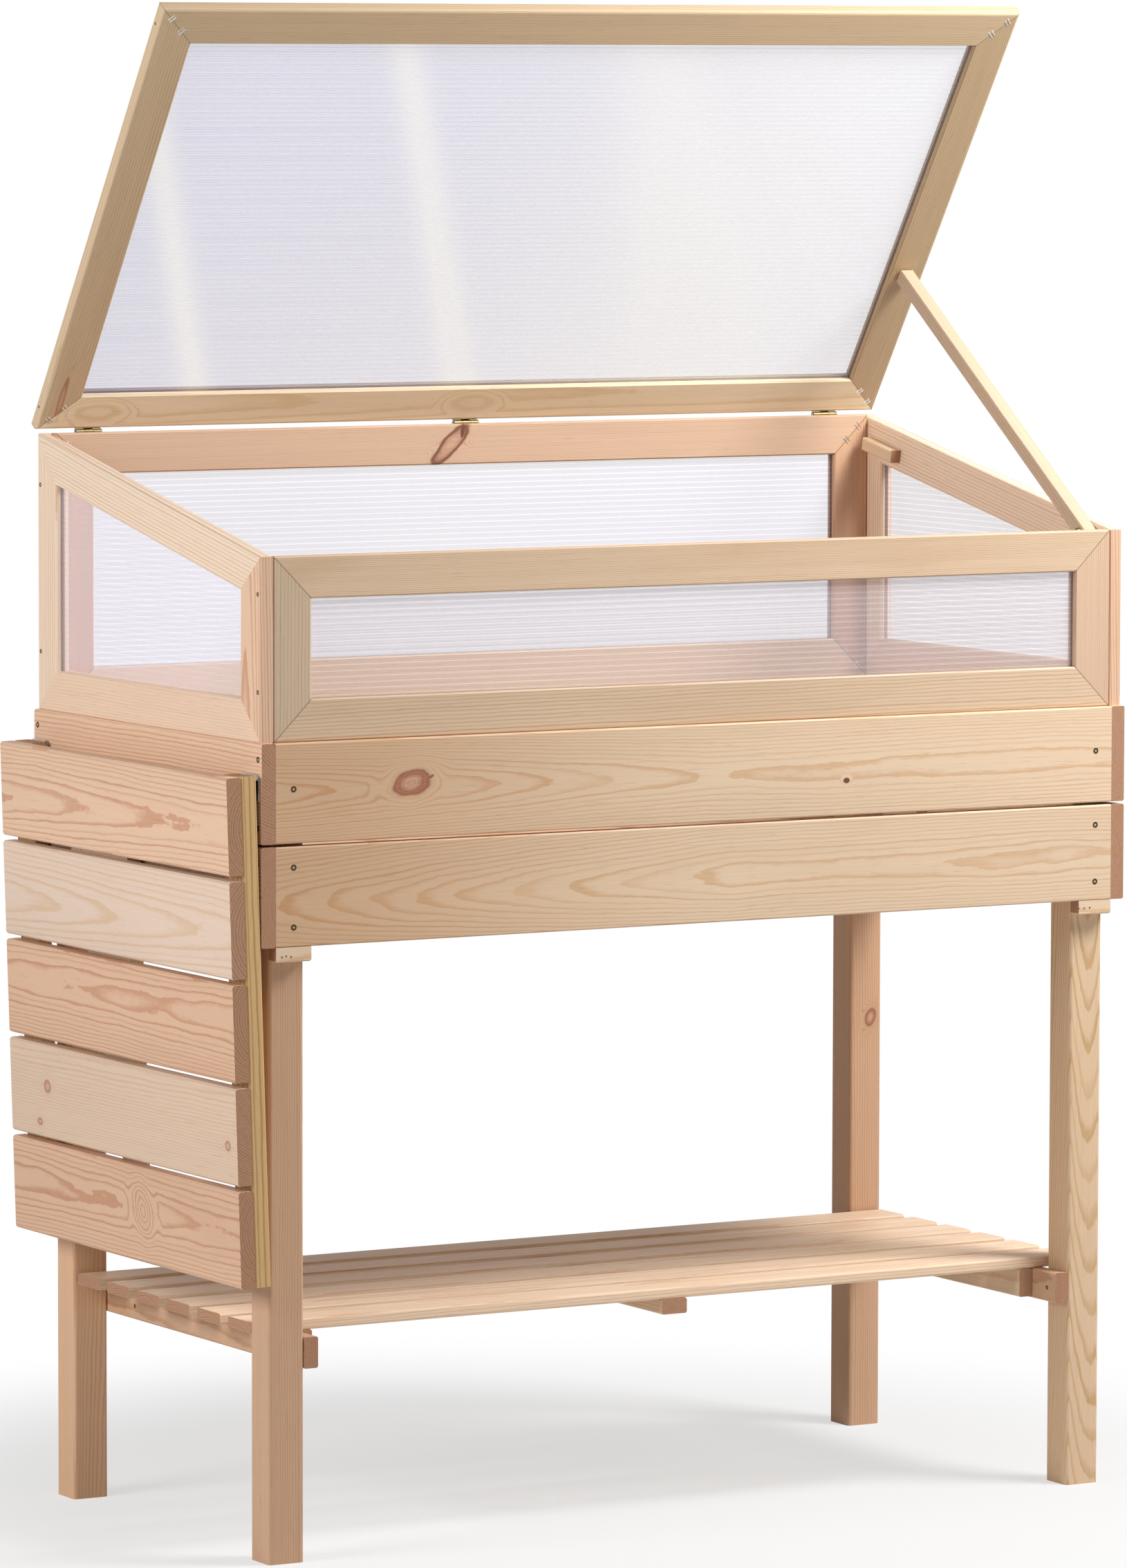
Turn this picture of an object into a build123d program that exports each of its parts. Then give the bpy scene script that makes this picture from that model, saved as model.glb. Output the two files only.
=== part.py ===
"""Raised bed on four legs, with a slatted shelf, a hanging side table and a glazed cold frame.

Millimetres, +Z up. The front faces -Y and the side table hangs on the -X side.
The pieces are built about the middle of the bed, on the floor, and moved at the end so that the
origin lies under the middle of the whole footprint, the hanging table included.
"""
import os
from math import asin, atan2, cos, degrees, floor, radians, sin, tan

from build123d import *

# Bed: walls two boards high, the side boards lapping the ends of the front and back boards
bed_length = 1032
bed_depth = 510
bed_top = 832
board_height = 101
board_gap = 3
board_thickness = 16
board_chamfer = 1.5

# Legs inside the corners, and the blocks on them that carry the front and back boards
leg_size = 40
leg_round = 4
leg_drop = 6
block_height = 15
block_chamfer = 1.5

# Bed floor: loose boards on two bearers, notched round the legs
bearer_height = 30
bearer_thickness = 16
floor_count = 10
floor_gap = 5
floor_thickness = 12
floor_play = 1

# Shelf between the legs: slats nailed to battens, resting on two rails
shelf_top = 241
shelf_setback = 3
shelf_slat_count = 6
shelf_slat_width = 50.5
shelf_slat_thickness = 12
shelf_slat_gap = 17.5
shelf_slat_round = 3
shelf_rail_height = 32
shelf_rail_thickness = 16
batten_width = 30
batten_thickness = 16
batten_play = 0.5
batten_chamfer = 1.5

# Cold frame: four mitred frames standing on the bed's rim
frame_side_inset = 1.5
frame_front_inset = 5.5
frame_back_inset = 7
frame_thickness = 15
frame_width = 43
frame_chamfer = 1.5
front_height = 186.5
back_height = 289.5

# Twin-wall panes, held in a groove all round
pane_thickness = 4
pane_skin = 0.6
pane_rib = 0.6
rib_pitch = 6
pane_seat = 6
pane_play = 0.2
groove_depth = 7

# Butt hinges: rolled knuckles on a pin, the outer two on one leaf and the middle one on the other
pin_radius = 1.4
pin_play = 0.1
pin_end = 0.6
leaf_thickness = 1.5
hinge_width = 30
knuckle_gap = 0.4
knuckle_clear = 0.6

# Lid
lid_side_overhang = 1.5
lid_depth = 528
lid_round = 4
lid_angle = 56
lid_hinge_count = 3
lid_hinge_end = 62
lid_hinge_rise = 0.5
lid_hinge_drop = 28
lid_leaf_height = 12

# Prop on the right side frame, and the cleat that it lies on when the lid is shut
prop_size = 16
prop_chamfer = 0.8
prop_angle = 36
prop_tail = 15
prop_pivot_back = 34.5
prop_pivot_drop = 10.5
prop_side_gap = 0.5
prop_lid_gap = 0.5
prop_bore_play = 0.1
prop_screw_radius = 2.2
prop_screw_depth = 10
prop_screw_head = 4.2
prop_screw_head_height = 2.4
cleat_size = 14
cleat_length = 60
cleat_end = 8
cleat_gap = 0.4
cleat_chamfer = 1.5

# Side table: slats on two rails, hung from the upper board of the left side
table_slat_count = 5
table_slat_width = 98.3
table_slat_gap = 5.7
table_slat_thickness = 16
table_slat_chamfer = 2
table_rail_width = 40
table_rail_thickness = 18
table_pin_drop = 33.5
table_top_rise = 2
table_rest_gap = 0.5
table_leaf_height = 24

# Folding bracket under the table, lying flat against its slats
bracket_thickness = 15
bracket_width = 150
bracket_tip = 8
bracket_start = 30
bracket_end = 492
bracket_chamfer = 2
bracket_leaf_height = 25
bracket_edge_leaf = 11

# Places that follow from the sizes above
bed_bottom = bed_top - 2 * board_height - board_gap
inner_length = bed_length - 2 * board_thickness
inner_depth = bed_depth - 2 * board_thickness
leg_x = (inner_length - leg_size) / 2
leg_y = (inner_depth - leg_size) / 2
leg_clear_x = leg_x - leg_size / 2
knuckle_radius = pin_radius + pin_play + leaf_thickness

frame_x = bed_length / 2 - frame_side_inset
frame_inner_x = frame_x - frame_thickness
frame_front = frame_front_inset - bed_depth / 2
frame_back = bed_depth / 2 - frame_back_inset
frame_slope = atan2(back_height - front_height, frame_back - frame_front)
groove_width = pane_thickness + 2 * pane_play

parts = {}


def bar(plane, width, height, length, ease, amount):
    """A planed bar along the plane's normal, its long edges eased by a fillet or a chamfer."""
    with BuildPart() as piece:
        with BuildSketch(plane) as section:
            Rectangle(width, height)
            ease(section.vertices(), amount)
        extrude(amount=length)
    return piece.part


def inset(corners, distance):
    """The corners of a counter-clockwise outline, moved in by a distance from every edge."""
    moved = []
    for before, here, after in zip(corners[-1:] + corners[:-1], corners, corners[1:] + corners[:1]):
        arriving = (Vector(*here) - Vector(*before)).normalized()
        leaving = (Vector(*after) - Vector(*here)).normalized()
        step = (leaving - arriving) * (distance / arriving.cross(leaving).Z)
        moved.append((here[0] + step.X, here[1] + step.Y))
    return moved


def mitred_frame(plane, corners, ease, amount):
    """The bars of a mitred frame in the order of its edges, eased outside and grooved inside for a pane."""
    inner = inset(corners, frame_width)
    groove = inset(corners, frame_width - groove_depth)
    bars = []
    for i in range(len(corners)):
        j = (i + 1) % len(corners)
        run = plane.x_dir * (corners[j][0] - corners[i][0]) + plane.y_dir * (corners[j][1] - corners[i][1])
        grain = Axis((0, 0, 0), run)
        with BuildPart() as piece:
            with BuildSketch(plane):
                Polygon(corners[i], corners[j], inner[j], inner[i], align=None)
            extrude(amount=frame_thickness)
            ease(piece.edges().filter_by(grain).group_by(SortBy.LENGTH)[-1], amount)
            chamfer(piece.edges().filter_by(grain).group_by(SortBy.LENGTH)[0], frame_chamfer)
            with BuildSketch(plane.offset((frame_thickness - groove_width) / 2)):
                Polygon(*groove, align=None)
            extrude(amount=groove_width, mode=Mode.SUBTRACT)
        bars.append(piece.part)
    return bars


def twin_wall_pane(plane, corners):
    """A twin-wall sheet whose channels run along the plane's X, cut to the outline of its groove."""
    outline = inset(corners, frame_width - pane_seat)
    left = min(x for x, y in outline)
    right = max(x for x, y in outline)
    low = min(y for x, y in outline)
    high = max(y for x, y in outline)
    middle = plane.from_local_coords((left, (low + high) / 2, frame_thickness / 2))
    channels = floor((high - low - pane_rib) / rib_pitch)
    with BuildPart() as sheet:
        with BuildSketch(Plane(middle, x_dir=plane.z_dir, z_dir=plane.x_dir)):
            Rectangle(pane_thickness, high - low)
            with GridLocations(0, rib_pitch, 1, channels):
                Rectangle(pane_thickness - 2 * pane_skin, rib_pitch - pane_rib, mode=Mode.SUBTRACT)
        extrude(amount=right - left)
        with BuildSketch(plane):
            Polygon(*outline, align=None)
        extrude(amount=frame_thickness, mode=Mode.INTERSECT)
    return sheet.part


def hinge_leaf(plane, leaf_height, outer_knuckles, bored=True):
    """One leaf of a butt hinge. The plane has the pin as its normal, and the leaf runs down its -Y."""
    knuckle_length = (hinge_width - 2 * knuckle_gap) / 3
    step = knuckle_length + knuckle_gap
    centres = [-step, step] if outer_knuckles else [0]
    plate_start = knuckle_radius + knuckle_clear
    plate_x = leaf_thickness / 2 - knuckle_radius
    with BuildPart() as leaf:
        with BuildSketch(plane):
            with Locations((plate_x, -(plate_start + leaf_height) / 2)):
                Rectangle(leaf_thickness, leaf_height - plate_start)
        extrude(amount=hinge_width / 2, both=True)
        for centre in centres:
            with BuildSketch(plane.offset(centre)):
                Circle(knuckle_radius)
                with Locations((plate_x, -plate_start / 2)):
                    Rectangle(leaf_thickness, plate_start)
                if bored:
                    Circle(pin_radius + pin_play, mode=Mode.SUBTRACT)
            extrude(amount=knuckle_length / 2, both=True)
    return leaf.part


def hinge_pin(plane):
    """The pin of one hinge, centred on the plane's origin and running along its normal."""
    with BuildPart() as pin:
        with BuildSketch(plane):
            Circle(pin_radius)
        extrude(amount=hinge_width / 2 + pin_end, both=True)
    return pin.part


def group(pieces):
    """Several solids that share one node."""
    with BuildPart() as together:
        add(pieces)
    return together.part


# Legs
for leg_name, side, end in (
    ("leg_front_left", -1, -1),
    ("leg_front_right", 1, -1),
    ("leg_back_left", -1, 1),
    ("leg_back_right", 1, 1),
):
    foot = Plane((side * leg_x, end * leg_y, 0))
    parts[leg_name] = bar(foot, leg_size, leg_size, bed_top - leg_drop, fillet, leg_round)

# Bed walls
board_levels = {
    "upper": bed_top - board_height / 2,
    "lower": bed_bottom + board_height / 2,
}
for level, height in board_levels.items():
    for wall, end in (("front", -1), ("back", 1)):
        start = (-inner_length / 2, end * (bed_depth - board_thickness) / 2, height)
        across = Plane(start, x_dir=(0, 1, 0), z_dir=(1, 0, 0))
        board = bar(across, board_thickness, board_height, inner_length, chamfer, board_chamfer)
        parts[f"board_{wall}_{level}"] = board
    for wall, side in (("left", -1), ("right", 1)):
        start = (side * (bed_length - board_thickness) / 2, -bed_depth / 2, height)
        across = Plane(start, x_dir=(1, 0, 0), z_dir=(0, 1, 0))
        board = bar(across, board_thickness, board_height, bed_depth, chamfer, board_chamfer)
        parts[f"board_{wall}_{level}"] = board

# Blocks on the legs, under the front and back boards
with BuildPart() as support_blocks:
    with BuildSketch(Plane.XY.offset(bed_bottom - block_height)):
        with GridLocations(2 * leg_x, bed_depth - board_thickness, 2, 2):
            Rectangle(leg_size, board_thickness)
    extrude(amount=block_height)
    chamfer(support_blocks.faces().group_by(Axis.Z)[0].edges(), block_chamfer)
parts["support_blocks"] = support_blocks.part

# Bed floor
with BuildPart() as floor_bearers:
    with BuildSketch(Plane.XY.offset(bed_bottom)):
        with GridLocations(0, inner_depth - bearer_thickness, 1, 2):
            Rectangle(2 * leg_clear_x, bearer_thickness)
    extrude(amount=bearer_height)
parts["floor_bearers"] = floor_bearers.part

floor_pitch = inner_length / floor_count
with BuildPart() as floor_boards:
    with BuildSketch(Plane.XY.offset(bed_bottom + bearer_height)):
        with GridLocations(floor_pitch, 0, floor_count, 1):
            Rectangle(floor_pitch - floor_gap, inner_depth - 2 * floor_play)
        with GridLocations(2 * leg_x, 2 * leg_y, 2, 2):
            Rectangle(leg_size + 2 * floor_play, leg_size + 2 * floor_play, mode=Mode.SUBTRACT)
    extrude(amount=floor_thickness)
parts["floor_boards"] = floor_boards.part

# Shelf
shelf_seat = shelf_top - shelf_slat_thickness
shelf_length = inner_length - 2 * shelf_setback
shelf_pitch = shelf_slat_width + shelf_slat_gap
shelf_depth = shelf_slat_count * shelf_pitch - shelf_slat_gap
with BuildPart() as shelf_slats:
    with BuildSketch(Plane.YZ.offset(-shelf_length / 2)):
        with Locations((0, shelf_top - shelf_slat_thickness / 2)):
            with GridLocations(shelf_pitch, 0, shelf_slat_count, 1):
                RectangleRounded(shelf_slat_width, shelf_slat_thickness, shelf_slat_round)
    extrude(amount=shelf_length)
parts["shelf_slats"] = shelf_slats.part

rail_x = leg_clear_x - shelf_rail_thickness / 2
rail_run = inner_depth
with BuildPart() as shelf_rails:
    with BuildSketch(Plane.XZ.offset(-rail_run / 2)) as rail_section:
        with Locations((0, shelf_seat - shelf_rail_height / 2)):
            with GridLocations(2 * rail_x, 0, 2, 1):
                Rectangle(shelf_rail_thickness, shelf_rail_height)
        chamfer(rail_section.vertices(), batten_chamfer)
    extrude(amount=rail_run)
parts["shelf_rails"] = shelf_rails.part

end_batten_x = leg_clear_x - shelf_rail_thickness - batten_play - batten_thickness / 2
with BuildPart() as shelf_battens:
    with BuildSketch(Plane.XZ.offset(-shelf_depth / 2)) as batten_section:
        with Locations((0, shelf_seat - batten_width / 2)):
            with GridLocations(2 * end_batten_x, 0, 2, 1):
                Rectangle(batten_thickness, batten_width)
        with Locations((0, shelf_seat - batten_thickness / 2)):
            Rectangle(batten_width, batten_thickness)
        chamfer(batten_section.vertices(), batten_chamfer)
    extrude(amount=shelf_depth)
parts["shelf_battens"] = shelf_battens.part

# Cold frame: the front and back frames stand between the two side frames
front_top = bed_top + front_height
back_top = bed_top + back_height
upright_frames = {
    "front": (Plane.XZ.offset(-frame_front - frame_thickness), front_top),
    "back": (Plane.XZ.offset(-frame_back), back_top),
}
for wall, (face, top) in upright_frames.items():
    corners = [
        (-frame_inner_x, bed_top),
        (frame_inner_x, bed_top),
        (frame_inner_x, top),
        (-frame_inner_x, top),
    ]
    bars = mitred_frame(face, corners, chamfer, frame_chamfer)
    for edge, piece in zip(("bottom", "right", "top", "left"), bars):
        parts[f"cold_frame_{wall}_{edge}"] = piece
    parts[f"pane_{wall}"] = twin_wall_pane(face, corners)

side_corners = [
    (frame_front, bed_top),
    (frame_back, bed_top),
    (frame_back, back_top),
    (frame_front, front_top),
]
for wall, face in (("left", Plane.YZ.offset(-frame_x)), ("right", Plane.YZ.offset(frame_inner_x))):
    bars = mitred_frame(face, side_corners, chamfer, frame_chamfer)
    for edge, piece in zip(("bottom", "back", "top", "front"), bars):
        parts[f"cold_frame_{wall}_{edge}"] = piece
    parts[f"pane_{wall}"] = twin_wall_pane(face, side_corners)

# Lid: hinged behind the back frame, its underside in line with the pins
lid_pin_y = frame_back + knuckle_radius
lid_pin_z = back_top + lid_hinge_rise
lid_tilt = radians(lid_angle)
lid_run = Vector(0, -cos(lid_tilt), sin(lid_tilt))
lid_up = Vector(0, sin(lid_tilt), cos(lid_tilt))
lid_pin = Vector(0, lid_pin_y, lid_pin_z)
lid_half = frame_x + lid_side_overhang
lid_face = Plane(lid_pin + lid_up * frame_thickness, x_dir=(1, 0, 0), z_dir=lid_up * -1)
lid_corners = [
    (-lid_half, knuckle_radius),
    (lid_half, knuckle_radius),
    (lid_half, knuckle_radius + lid_depth),
    (-lid_half, knuckle_radius + lid_depth),
]
lid_bars = mitred_frame(lid_face, lid_corners, fillet, lid_round)
for edge, piece in zip(("back", "right", "front", "left"), lid_bars):
    parts[f"lid_{edge}"] = piece
parts["lid_pane"] = twin_wall_pane(lid_face, lid_corners)

lid_hinge_step = 2 * (lid_half - lid_hinge_end) / (lid_hinge_count - 1)
lid_hinge_places = [lid_pin + Vector((i - (lid_hinge_count - 1) / 2) * lid_hinge_step, 0, 0)
                    for i in range(lid_hinge_count)]
frame_leaf_planes = [Plane(place, x_dir=(0, 1, 0), z_dir=(1, 0, 0)) for place in lid_hinge_places]
lid_leaf_planes = [Plane(place, x_dir=lid_run * -1, z_dir=(-1, 0, 0)) for place in lid_hinge_places]
parts["lid_hinge_frame_leaves"] = group([hinge_leaf(p, lid_hinge_drop, True) for p in frame_leaf_planes])
parts["lid_hinge_lid_leaves"] = group([hinge_leaf(p, lid_leaf_height, False) for p in lid_leaf_planes])

# Prop: turns on a screw in the right side frame and meets the lid's underside with its square end
prop_x = frame_inner_x - prop_side_gap - prop_size
pivot_y = frame_front + prop_pivot_back
pivot_z = front_top + prop_pivot_back * tan(frame_slope) - prop_pivot_drop
prop_tilt = radians(prop_angle)
off_square = prop_tilt - (radians(90) - lid_tilt)
reach = (lid_pin_y - pivot_y) * lid_up.Y + (lid_pin_z - pivot_z) * lid_up.Z
prop_length = reach / cos(off_square) - prop_size / 2 * abs(tan(off_square)) - prop_lid_gap
prop_face = Plane((prop_x, pivot_y, pivot_z), x_dir=(0, cos(prop_tilt), sin(prop_tilt)), z_dir=(1, 0, 0))
with BuildPart() as prop:
    with BuildSketch(prop_face):
        with Locations(((prop_length - prop_tail) / 2, 0)):
            Rectangle(prop_length + prop_tail, prop_size)
    extrude(amount=prop_size)
    chamfer(prop.edges(), prop_chamfer)
    with BuildSketch(prop_face):
        Circle(prop_screw_radius + prop_bore_play)
    extrude(amount=prop_size, mode=Mode.SUBTRACT)
parts["prop"] = prop.part

with BuildPart() as prop_screw:
    with BuildSketch(prop_face.offset(-prop_side_gap - prop_screw_head_height)):
        Circle(prop_screw_head)
    extrude(amount=prop_screw_head_height)
    with BuildSketch(prop_face.offset(-prop_side_gap)):
        Circle(prop_screw_radius)
    extrude(amount=prop_size + 2 * prop_side_gap + prop_screw_depth)
parts["prop_screw"] = prop_screw.part

with BuildPart() as pivot_rail:
    add(parts["cold_frame_right_top"])
    with BuildSketch(prop_face.offset(prop_size + prop_side_gap)):
        Circle(prop_screw_radius + prop_bore_play)
    extrude(amount=prop_screw_depth, mode=Mode.SUBTRACT)
parts["cold_frame_right_top"] = pivot_rail.part

# Cleat in the back corner, parallel to the sloping rail, just under the prop when that is laid down
cleat_low = prop_size / 2 + cleat_gap + cleat_size
cleat_stop = frame_back - frame_thickness - cleat_end - pivot_y
cleat_far = (cleat_stop - cleat_low * sin(frame_slope)) / cos(frame_slope)
slope_face = Plane(
    (frame_inner_x, pivot_y, pivot_z),
    x_dir=(0, cos(frame_slope), sin(frame_slope)),
    z_dir=(1, 0, 0),
)
with BuildPart() as prop_cleat:
    with BuildSketch(slope_face):
        with Locations((cleat_far - cleat_length / 2, cleat_size / 2 - cleat_low)):
            Rectangle(cleat_length, cleat_size)
    extrude(amount=-cleat_size)
    chamfer(prop_cleat.faces().sort_by(Axis.X)[0].edges(), cleat_chamfer)
parts["prop_cleat"] = prop_cleat.part

# Side table: hangs from its pins and leans on the lower edge of the bed
table_pin_x = -bed_length / 2 - knuckle_radius
table_pin_z = bed_top - table_pin_drop
table_lean = asin((2 * knuckle_radius - table_rest_gap) / (table_pin_z - bed_bottom))
table_down = Vector(sin(table_lean), 0, -cos(table_lean))
table_out = Vector(-cos(table_lean), 0, -sin(table_lean))
table_pin = Vector(table_pin_x, 0, table_pin_z)
table_pitch = table_slat_width + table_slat_gap
table_length = table_slat_count * table_pitch - table_slat_gap
slat_seat = knuckle_radius + table_rail_thickness
slat_centres = [i * table_pitch + table_slat_width / 2 - table_top_rise for i in range(table_slat_count)]
for i, centre in enumerate(slat_centres):
    middle = table_pin + table_down * centre + table_out * (slat_seat + table_slat_thickness / 2)
    across = Plane(middle + Vector(0, -bed_depth / 2, 0), x_dir=table_down, z_dir=(0, 1, 0))
    slat = bar(across, table_slat_width, table_slat_thickness, bed_depth, chamfer, table_slat_chamfer)
    parts[f"table_slat_{i + 1}"] = slat

rail_y = (bed_depth - table_rail_width) / 2
rail_top = table_pin - table_down * table_top_rise + table_out * (knuckle_radius + table_rail_thickness / 2)
for end, sign in (("front", -1), ("back", 1)):
    across = Plane(rail_top + Vector(0, sign * rail_y, 0), x_dir=(0, 1, 0), z_dir=table_down)
    rail = bar(across, table_rail_width, table_rail_thickness, table_length, chamfer, table_slat_chamfer)
    parts[f"table_rail_{end}"] = rail

table_hinge_places = [table_pin + Vector(0, sign * rail_y, 0) for sign in (-1, 1)]
bed_leaf_planes = [Plane(place, x_dir=(-1, 0, 0), z_dir=(0, 1, 0)) for place in table_hinge_places]
table_leaf_planes = [Plane(place, x_dir=table_out * -1, z_dir=(0, -1, 0)) for place in table_hinge_places]
bed_leaves = [hinge_leaf(p, table_leaf_height, True) for p in bed_leaf_planes]
table_leaves = [hinge_leaf(p, table_leaf_height, False) for p in table_leaf_planes]
parts["table_hinge_bed_leaves"] = group(bed_leaves)
parts["table_hinge_table_leaves"] = group(table_leaves)
parts["hinge_pins"] = group([hinge_pin(p) for p in frame_leaf_planes + bed_leaf_planes])

# Bracket: a tapered board hinged to the underside of the slats along its straight edge.
# Its small hinges have closed barrels, with the pin hidden inside
table_face = Plane(table_pin, x_dir=(0, 1, 0), z_dir=table_out)
with BuildPart() as table_bracket:
    with BuildSketch(table_face.offset(slat_seat - bracket_thickness)):
        Polygon(
            (0, bracket_start),
            (bracket_width, bracket_start),
            (bracket_tip, bracket_end),
            (0, bracket_end),
            align=None,
        )
    extrude(amount=bracket_thickness)
    chamfer(table_bracket.faces().sort_by(Axis.X)[-1].edges(), bracket_chamfer)
parts["table_bracket"] = table_bracket.part

bracket_hinge_pieces = []
for centre in (slat_centres[0], slat_centres[-2]):
    bracket_pin = table_pin + table_down * centre + table_out * (slat_seat - knuckle_radius)
    bracket_pin = bracket_pin + Vector(0, -knuckle_radius, 0)
    slat_leaf = Plane(bracket_pin, x_dir=table_out * -1, z_dir=table_down * -1)
    edge_leaf = Plane(bracket_pin, x_dir=(0, -1, 0), z_dir=table_down)
    bracket_hinge_pieces.append(hinge_leaf(slat_leaf, bracket_leaf_height, True, bored=False))
    bracket_hinge_pieces.append(hinge_leaf(edge_leaf, bracket_edge_leaf, False, bored=False))
parts["bracket_hinges"] = group(bracket_hinge_pieces)

# Every piece moves over by half of what the table adds, and each goes into its own file
table_reach = 2 * knuckle_radius + table_rail_thickness + table_slat_thickness
to_origin = Location((table_reach / 2, 0, 0))
os.makedirs("parts", exist_ok=True)
for name, piece in parts.items():
    placed = piece.moved(to_origin)
    placed.label = name
    export_step(placed, f"parts/{name}.step")

print(f"{len(parts)} parts, lid open {lid_angle + degrees(frame_slope):.2f} degrees from shut")
print(f"lid pin x 0 y {lid_pin_y:.3f} z {lid_pin_z:.3f}")
print(f"prop pivot y {pivot_y:.3f} z {pivot_z:.3f}, length {prop_length:.2f}")
print(f"prop laid down by {prop_angle - degrees(frame_slope):.3f} degrees")
print(f"table pin x {table_pin_x + table_reach / 2:.3f} z {table_pin_z:.3f}, lean {degrees(table_lean):.3f}")
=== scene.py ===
from collections import namedtuple
from math import cos, hypot, radians, sin

import bmesh
import bpy
from mathutils import Euler, Matrix, Vector


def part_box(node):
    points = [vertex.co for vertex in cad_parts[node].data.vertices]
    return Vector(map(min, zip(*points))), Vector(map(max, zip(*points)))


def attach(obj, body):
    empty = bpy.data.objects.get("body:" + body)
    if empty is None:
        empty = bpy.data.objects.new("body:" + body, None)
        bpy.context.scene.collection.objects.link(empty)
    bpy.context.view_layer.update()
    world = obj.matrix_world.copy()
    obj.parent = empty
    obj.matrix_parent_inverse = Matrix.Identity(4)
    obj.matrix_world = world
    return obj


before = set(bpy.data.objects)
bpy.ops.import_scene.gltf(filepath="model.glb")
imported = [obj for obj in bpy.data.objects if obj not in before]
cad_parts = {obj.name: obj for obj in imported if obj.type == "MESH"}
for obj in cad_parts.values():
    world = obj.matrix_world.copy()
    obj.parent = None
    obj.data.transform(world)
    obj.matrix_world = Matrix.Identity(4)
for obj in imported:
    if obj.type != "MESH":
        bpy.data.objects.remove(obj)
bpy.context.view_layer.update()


# Studio: a matt white floor that runs out into a white background, in a room that gives an even fill.
# A soft lamp stands high in front of the bed on its right, and a wider one farther off on its left. The camera
# looks from the front left through a long lens.
scene = bpy.context.scene
scene.view_settings.view_transform = "Standard"
scene.cycles.transparent_max_bounces = 48

room_fill = 0.18
room = bpy.data.worlds.new("white_room")
room.use_nodes = True
scene.world = room


def looked_at(tree):
    """One for rays that show the background: straight, in a reflection or through glass. Zero for the rest."""
    path = tree.nodes.new("ShaderNodeLightPath")
    seen = path.outputs["Is Camera Ray"]
    for ray in ("Is Glossy Ray", "Is Transmission Ray"):
        either = tree.nodes.new("ShaderNodeMath")
        either.operation = "MAXIMUM"
        tree.links.new(seen, either.inputs[0])
        tree.links.new(path.outputs[ray], either.inputs[1])
        seen = either.outputs[0]
    return seen


brightness = room.node_tree.nodes.new("ShaderNodeMapRange")
brightness.inputs["To Min"].default_value = room_fill
brightness.inputs["To Max"].default_value = 1
room.node_tree.links.new(looked_at(room.node_tree), brightness.inputs["Value"])
room.node_tree.links.new(brightness.outputs["Result"], room.node_tree.nodes["Background"].inputs["Strength"])
room.node_tree.nodes["Background"].inputs["Color"].default_value = (1, 1, 1, 1)

floor_mesh = bmesh.new()
bmesh.ops.create_grid(floor_mesh, x_segments=1, y_segments=1, size=30)
floor_data = bpy.data.meshes.new("studio_floor")
floor_mesh.to_mesh(floor_data)
floor_mesh.free()
floor = bpy.data.objects.new("studio_floor", floor_data)
scene.collection.objects.link(floor)

floor_tone = 0.72
shadow_radius, white_radius = 0.5, 1.1
least_white = 0.6
floor_material = bpy.data.materials.new("white_floor")
floor_material.use_nodes = True
floor_tree = floor_material.node_tree
floor_finish = floor_tree.nodes["Principled BSDF"]
floor_finish.inputs["Base Color"].default_value = (floor_tone, floor_tone, floor_tone, 1)
floor_finish.inputs["Roughness"].default_value = 0.9
floor_place = floor_tree.nodes.new("ShaderNodeTexCoord")
floor_reach = floor_tree.nodes.new("ShaderNodeVectorMath")
floor_reach.operation = "LENGTH"
floor_tree.links.new(floor_place.outputs["Object"], floor_reach.inputs[0])
fade = floor_tree.nodes.new("ShaderNodeMapRange")
fade.interpolation_type = "SMOOTHSTEP"
fade.inputs["From Min"].default_value = shadow_radius
fade.inputs["From Max"].default_value = white_radius
fade.inputs["To Min"].default_value = least_white
floor_tree.links.new(floor_reach.outputs["Value"], fade.inputs["Value"])
floor_shown = floor_tree.nodes.new("ShaderNodeMath")
floor_shown.operation = "MULTIPLY"
floor_tree.links.new(fade.outputs["Result"], floor_shown.inputs[0])
floor_tree.links.new(looked_at(floor_tree), floor_shown.inputs[1])
floor_white = floor_tree.nodes.new("ShaderNodeEmission")
floor_mix = floor_tree.nodes.new("ShaderNodeMixShader")
floor_tree.links.new(floor_shown.outputs[0], floor_mix.inputs[0])
floor_tree.links.new(floor_finish.outputs[0], floor_mix.inputs[1])
floor_tree.links.new(floor_white.outputs[0], floor_mix.inputs[2])
floor_tree.links.new(floor_mix.outputs[0], floor_tree.nodes["Material Output"].inputs["Surface"])
floor_data.materials.append(floor_material)

for lamp_name, place, aim, width, power in (
    ("right_softbox", (1.35, -1.15, 2.45), (0.25, -0.1, 0.75), 0.9, 74),
    ("left_softbox", (-3.2, -0.3, 1.7), (-0.45, 0, 0.65), 1.3, 58),
):
    lamp = bpy.data.lights.new(lamp_name, "AREA")
    lamp.size = width
    lamp.energy = power
    stand = bpy.data.objects.new(lamp_name, lamp)
    stand.location = place
    stand.rotation_euler = (Vector(aim) - Vector(place)).to_track_quat("-Z", "Y").to_euler()
    scene.collection.objects.link(stand)

focal_length = 189.62
camera_place = (-4.33033, -7.50604, 1.51594)
turn, dip, roll = 29.97, 5.04, 0.12
lens = bpy.data.cameras.new("camera")
lens.lens = focal_length
camera = bpy.data.objects.new("camera", lens)
facing = Euler((radians(90 - dip), 0, radians(-turn))).to_matrix() @ Matrix.Rotation(radians(roll), 3, "Z")
camera.matrix_world = Matrix.LocRotScale(camera_place, facing, None)
scene.collection.objects.link(camera)
scene.camera = camera


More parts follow.
